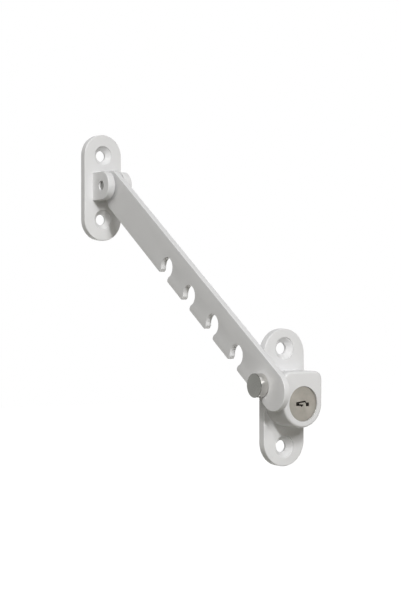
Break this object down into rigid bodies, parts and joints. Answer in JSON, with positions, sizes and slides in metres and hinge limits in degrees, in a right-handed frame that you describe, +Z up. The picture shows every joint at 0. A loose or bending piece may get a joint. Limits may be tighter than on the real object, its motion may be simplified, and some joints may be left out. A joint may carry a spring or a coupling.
{
  "type": "window restrictor",
  "caption": "Lockable window restrictor: frame bracket with a clevis, hinged flat arm with hook notches, and a key-locked housing whose stud holds the arm.",
  "frame": {"origin": "centre of the frame bracket's back face", "axes": "+Z up along the bracket, +Y out of its back face into the window, +X along its width"},
  "size_m": [0.0372, 0.1622, 0.1625],
  "materials": {
    "bracket_paint": "satin powder coat",
    "arm_paint": "satin powder coat",
    "housing_paint": "satin powder coat",
    "pin_steel": "turned",
    "washer_plastic": "moulded white nylon",
    "stud_steel": "turned, dull nickel",
    "bush_brass": "turned",
    "shell_nickel": "satin nickel",
    "plug_nickel": "satin nickel",
    "wafer_nickel": "stamped nickel silver",
    "spring_steel": "drawn wire",
    "cam_steel": "turned",
    "clip_steel": "blued",
    "dowel_steel": "turned",
    "driver_steel": "stamped, zinc-plated",
    "screw_steel": "zinc-plated",
    "cover_zinc": "stamped, zinc-plated"
  },
  "bodies": {
    "frame": {"frame_bracket": "bracket_paint", "pivot_pin": "pin_steel", "arm_washer_left": "washer_plastic", "arm_washer_right": "washer_plastic"},
    "arm": {"arm": "arm_paint"},
    "lock": {"lock_housing": "housing_paint", "stud_bush": "bush_brass", "cylinder_shell": "shell_nickel", "cylinder_pin": "dowel_steel", "rear_cover": "cover_zinc", "cover_screw_1": "screw_steel", "cover_screw_2": "screw_steel"},
    "slide": {"stud": "stud_steel", "driver_plate": "driver_steel", "driver_screw": "screw_steel"},
    "plug": {"plug": "plug_nickel", "wafer_1": "wafer_nickel", "wafer_2": "wafer_nickel", "wafer_3": "wafer_nickel", "wafer_spring_1": "spring_steel", "wafer_spring_2": "spring_steel", "wafer_spring_3": "spring_steel", "cam_pin": "cam_steel", "plug_clip": "clip_steel"}
  },
  "joints": [
    {"name": "arm_swing", "type": "hinge", "parent": "frame", "child": "arm", "pos_m": [0.00085, -0.0125, 0.00045], "axis": [1, 0, 0], "range_deg": [-85, 33]},
    {"name": "lock_swivel", "type": "hinge", "parent": "arm", "child": "lock", "pos_m": [0.00085, -0.14483, -0.09717], "axis": [1, 0, 0], "range_deg": [-55, 55]},
    {"name": "stud_slide", "type": "slide", "parent": "lock", "child": "slide", "axis": [-1, 0, 0], "range_m": [0, 0.0037]},
    {"name": "plug_turn", "type": "hinge", "parent": "lock", "child": "plug", "pos_m": [0.01479, -0.15584, -0.10547], "axis": [0, -1, 0], "range_deg": [0, 90]}
  ],
  "couplings": [
    {"joint": "stud_slide", "follows": "plug_turn", "m_per_rad": 0.002355}
  ]
}
